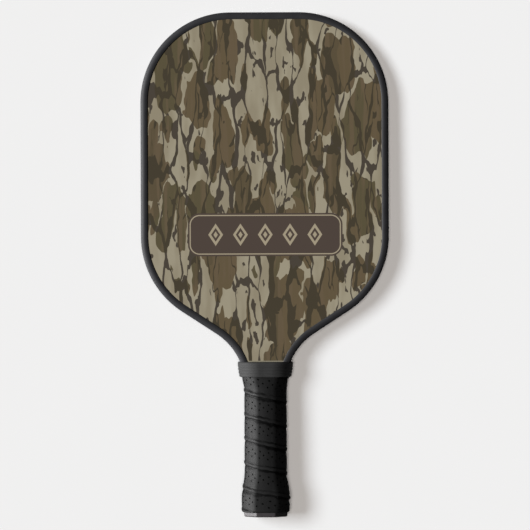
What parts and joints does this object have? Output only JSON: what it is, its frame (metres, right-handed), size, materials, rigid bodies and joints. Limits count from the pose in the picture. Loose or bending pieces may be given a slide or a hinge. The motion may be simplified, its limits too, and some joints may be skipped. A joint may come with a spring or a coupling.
{
  "type": "pickleball paddle",
  "caption": "Wide-bodied pickleball paddle: flat blade with printed faces and a moulded rim guard, rubber collar, and a short eight-sided handle wrapped in perforated cushion tape.",
  "frame": {"origin": "centre of the butt cap's flat end face", "axes": "+Y from the butt to the top of the blade, +Z out of the front face, +X to the right seen from the front"},
  "size_m": [0.2, 0.4069, 0.0366],
  "materials": {
    "core_plastic": "natural polypropylene",
    "veil_fleece": "thin bonded fleece",
    "face_laminate": "fibreglass laminate",
    "printed_film": "satin printed film, bark camouflage",
    "guard_plastic": "satin moulded",
    "handle_foam": "rigid foam",
    "cap_plastic": "satin moulded",
    "staple_steel": "galvanised wire",
    "grip_tape": "perforated synthetic leather",
    "finishing_vinyl": "vinyl tape",
    "collar_rubber": "ribbed matt rubber"
  },
  "bodies": {
    "root": {"honeycomb_core": "core_plastic", "front_veil": "veil_fleece", "back_veil": "veil_fleece", "front_face_sheet": "face_laminate", "back_face_sheet": "face_laminate", "front_print_film": "printed_film", "back_print_film": "printed_film", "edge_guard": "guard_plastic", "front_handle_half": "handle_foam", "back_handle_half": "handle_foam", "butt_cap": "cap_plastic", "butt_cap_staple_front": "staple_steel", "butt_cap_staple_back": "staple_steel", "grip_tape": "grip_tape", "finishing_tape": "finishing_vinyl", "grip_collar": "collar_rubber"}
  },
  "joints": []
}
